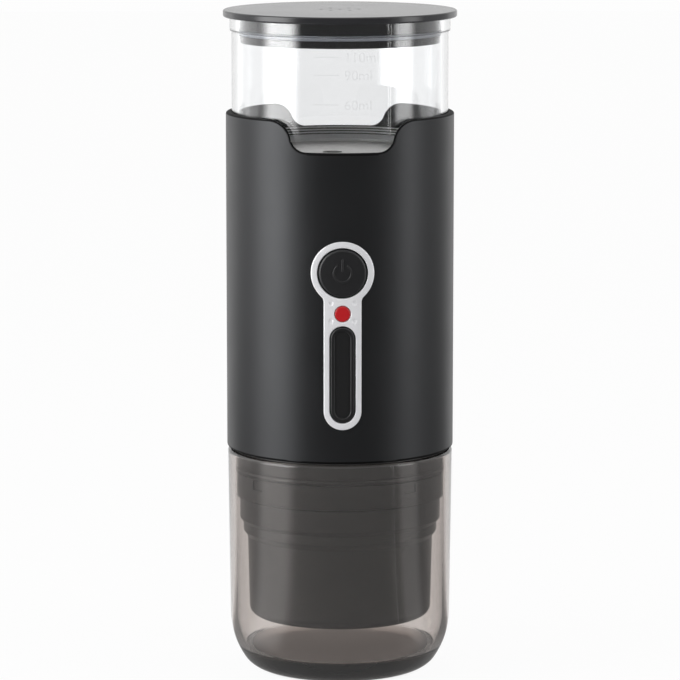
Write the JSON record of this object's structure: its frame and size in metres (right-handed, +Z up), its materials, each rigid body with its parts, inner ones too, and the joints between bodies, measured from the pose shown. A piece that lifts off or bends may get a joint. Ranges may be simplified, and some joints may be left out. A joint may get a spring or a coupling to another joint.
{
  "type": "portable espresso maker",
  "caption": "Upright portable espresso maker: lidded clear water tank over a battery pump body with a button panel, and a twist-in coffee holder over a smoked cup.",
  "frame": {"origin": "middle of the cup's underside, on the surface it stands on", "axes": "+Z up along the body's axis, -Y towards the control panel, +X to the right as seen from the panel side"},
  "size_m": [0.0746, 0.0746, 0.2134],
  "materials": {
    "smoked_plastic": "polished, smoked and see-through",
    "dark_plastic": "satin",
    "black_satin": "satin, soft feel",
    "frame_plastic": "as moulded",
    "pump_plastic": "as moulded",
    "gear_plastic": "as moulded",
    "board_green": "solder mask",
    "button_black": "satin",
    "lid_satin": "fine satin",
    "lid_gloss": "gloss",
    "clear_plastic": "polished and clear",
    "red_lens": "polished",
    "black_rubber": "matt",
    "white_silicone": "matt",
    "grey_silicone": "satin",
    "red_silicone": "matt",
    "steel": "satin",
    "silver_trim": "satin",
    "heater_aluminium": "as pressed",
    "cell_wrap": "shrink wrap",
    "brass": "turned"
  },
  "bodies": {
    "cup": {"cup": "smoked_plastic"},
    "machine": {"brew_head": "dark_plastic", "cup_ring": "black_rubber", "check_valve": "white_silicone", "brew_gasket": "red_silicone", "shower_screen": "steel", "screen_screw": "steel", "body_shell": "black_satin", "lower_deck": "frame_plastic", "deck_screws": "steel", "pump_body": "pump_plastic", "pump_cover": "pump_plastic", "pump_screws": "steel", "shaft_seal": "black_rubber", "motor_mount": "pump_plastic", "motor_can": "steel", "inlet_tube": "white_silicone", "outlet_tube": "white_silicone", "battery_cell_1": "cell_wrap", "battery_cell_2": "cell_wrap", "battery_cell_3": "cell_wrap", "battery_tabs": "steel", "battery_clamp": "frame_plastic", "frame_posts": "brass", "upper_frame": "frame_plastic", "frame_screws": "steel", "circuit_board": "board_green", "tact_switch": "dark_plastic", "lamp_diode": "red_lens", "dc_socket": "dark_plastic", "panel_bezel": "silver_trim", "lamp_lens": "red_lens", "tank_outlet": "pump_plastic", "heater_disc": "heater_aluminium", "thermal_cutout": "gear_plastic", "tank_floor": "steel", "floor_gasket": "white_silicone", "water_tank": "clear_plastic"},
    "lid": {"lid_disc": "lid_satin", "lid_plug": "lid_gloss", "lid_seal": "grey_silicone"},
    "button": {"power_button": "button_black", "switch_plunger": "gear_plastic"},
    "port_flap": {"port_cover": "black_rubber"},
    "holder": {"capsule_holder": "dark_plastic", "coffee_basket": "steel", "outlet_spout": "black_rubber"},
    "pump_drive": {"motor_shaft": "steel", "drive_gear": "gear_plastic"},
    "pump_idler": {"driven_gear": "gear_plastic", "idler_axle": "steel"}
  },
  "joints": [
    {"name": "machine_lift", "type": "slide", "parent": "cup", "child": "machine", "axis": [0, 0, 1], "range_m": [0, 0.08]},
    {"name": "lid_lift", "type": "slide", "parent": "machine", "child": "lid", "axis": [0, 0, 1], "range_m": [0, 0.03]},
    {"name": "button_press", "type": "slide", "parent": "machine", "child": "button", "axis": [0, 1, 0], "range_m": [0, 0.0008], "stiffness_N_per_m": 2000, "springref_m": -0.0004},
    {"name": "port_cover_hinge", "type": "hinge", "parent": "machine", "child": "port_flap", "pos_m": [0, -0.037, 0.0863], "axis": [1, 0, 0], "range_deg": [0, 100], "stiffness_Nm_per_rad": 0.001, "springref_deg": -11.46},
    {"name": "holder_twist", "type": "hinge", "parent": "machine", "child": "holder", "pos_m": [0, 0, 0.0615], "axis": [0, 0, 1], "range_deg": [0, 40]},
    {"name": "pump_drive_spin", "type": "hinge", "parent": "machine", "child": "pump_drive", "pos_m": [-0.006, -0.008, 0.09], "axis": [0, 0, 1], "continuous": true},
    {"name": "pump_idler_spin", "type": "hinge", "parent": "machine", "child": "pump_idler", "pos_m": [0.006, -0.008, 0.09], "axis": [0, 0, 1], "continuous": true}
  ],
  "couplings": [
    {"joint": "pump_idler_spin", "follows": "pump_drive_spin", "ratio": -1}
  ]
}
